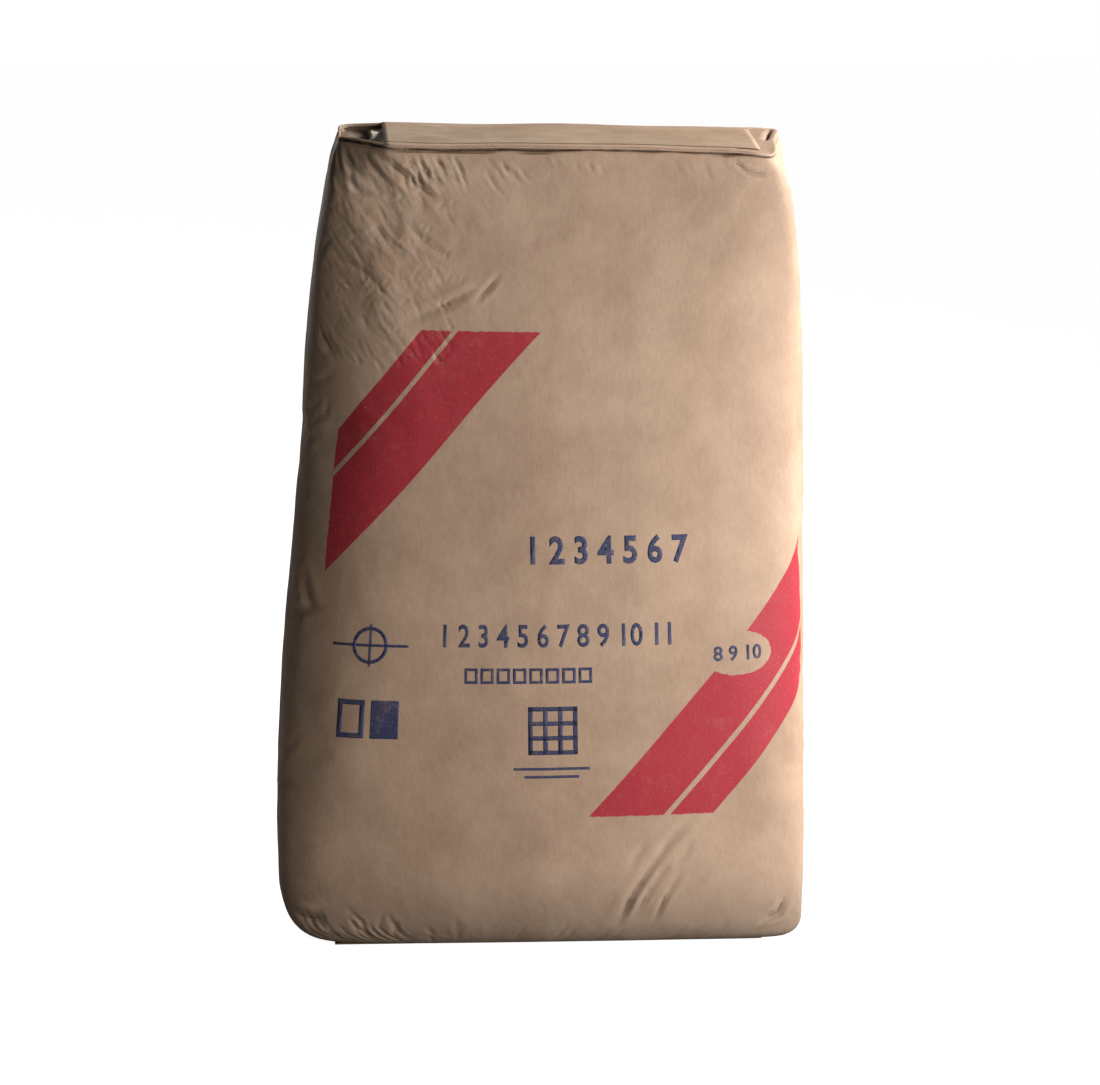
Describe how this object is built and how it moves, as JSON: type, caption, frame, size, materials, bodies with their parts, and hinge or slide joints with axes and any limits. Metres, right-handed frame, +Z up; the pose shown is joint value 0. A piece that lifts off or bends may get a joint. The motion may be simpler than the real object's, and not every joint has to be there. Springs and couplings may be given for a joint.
{
  "type": "cement bag",
  "caption": "Full pasted-valve sack of brown kraft paper, standing on its block bottom, with folded and covered ends and a valve sleeve in a top corner.",
  "frame": {"origin": "middle of the base, on the floor", "axes": "+Z up through the standing bag, -Y out of the printed front, +X to the right as seen from the front"},
  "size_m": [0.4174, 0.165, 0.6433],
  "materials": {
    "kraft_paper": "matte brown kraft, printed with two plain red bands on the front",
    "cover_paper": "matte brown kraft",
    "sleeve_paper": "matte pale kraft",
    "cement": "dull grey powder"
  },
  "bodies": {
    "root": {"paper_tube": "kraft_paper", "top_cover_strip": "cover_paper", "bottom_cover_strip": "cover_paper", "valve_sleeve": "sleeve_paper", "cement_fill": "cement"}
  },
  "joints": []
}
